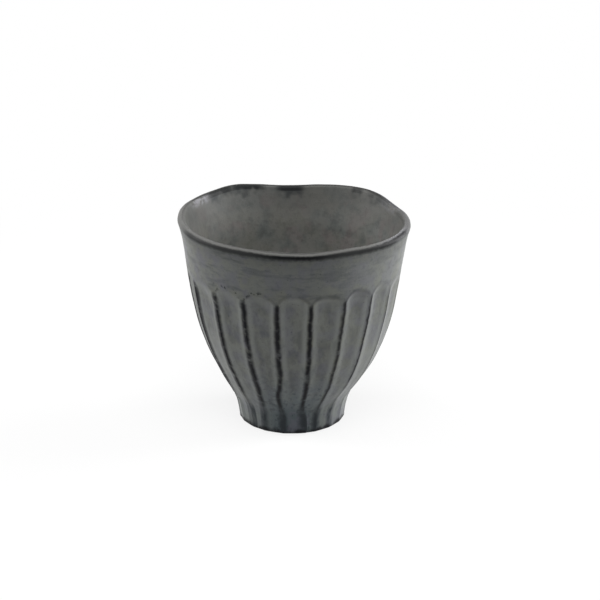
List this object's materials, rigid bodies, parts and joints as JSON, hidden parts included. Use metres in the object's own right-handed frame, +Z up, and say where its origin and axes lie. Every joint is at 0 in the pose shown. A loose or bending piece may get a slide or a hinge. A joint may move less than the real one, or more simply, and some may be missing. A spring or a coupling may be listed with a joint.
{
  "type": "tea cup",
  "caption": "Handleless stoneware tea cup with a fluted grey-glazed outside, a softly lobed iron-dark lip and a small luted foot ring, for holding hot drinks.",
  "frame": {"origin": "on the table, under the middle of the mouth", "axes": "+Z up along the cup's axis, -Y towards the front as pictured, +X to the right"},
  "size_m": [0.0868, 0.0868, 0.0822],
  "materials": {
    "stoneware": "bare fired stoneware, dark brown-grey, gritty and matt",
    "luting_slip": "fired slip, matt",
    "grey_glaze": "satin grey glaze that breaks to iron black on ridges and goes blue-dark near the foot",
    "liner_glaze": "satin mottled warm grey glaze",
    "iron_wash": "iron-dark satin glaze, worn lighter on the crest"
  },
  "bodies": {
    "root": {"cup_body": "stoneware", "foot_ring": "stoneware", "luting_slip": "luting_slip", "outside_glaze": "grey_glaze", "iron_lip": "iron_wash", "inside_glaze": "liner_glaze", "recess_glaze": "grey_glaze"}
  },
  "joints": []
}
